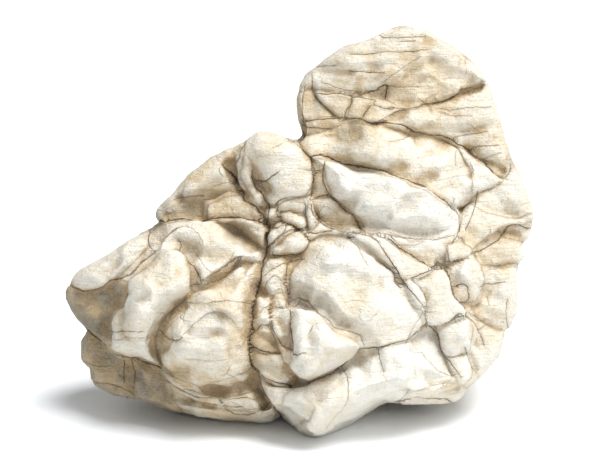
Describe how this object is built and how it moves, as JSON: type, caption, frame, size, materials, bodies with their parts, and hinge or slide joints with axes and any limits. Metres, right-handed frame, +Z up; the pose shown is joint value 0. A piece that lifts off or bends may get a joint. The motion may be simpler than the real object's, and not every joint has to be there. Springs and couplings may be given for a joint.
{
  "type": "flint nodule",
  "caption": "Weathered cream stone nodule with rounded folded blocks, open joints and a tall rounded head, resting on a small flat spot.",
  "frame": {"origin": "middle of the bounding box, on the floor under the stone", "axes": "+Z up, the pictured front towards -Y, +X to the right in the picture and along the longest extent"},
  "size_m": [0.2334, 0.1584, 0.1923],
  "materials": {
    "flint_nodule": "matt, weathered, cream-white with ochre and brown in the joints"
  },
  "bodies": {
    "root": {"flint_nodule": "flint_nodule"}
  },
  "joints": []
}
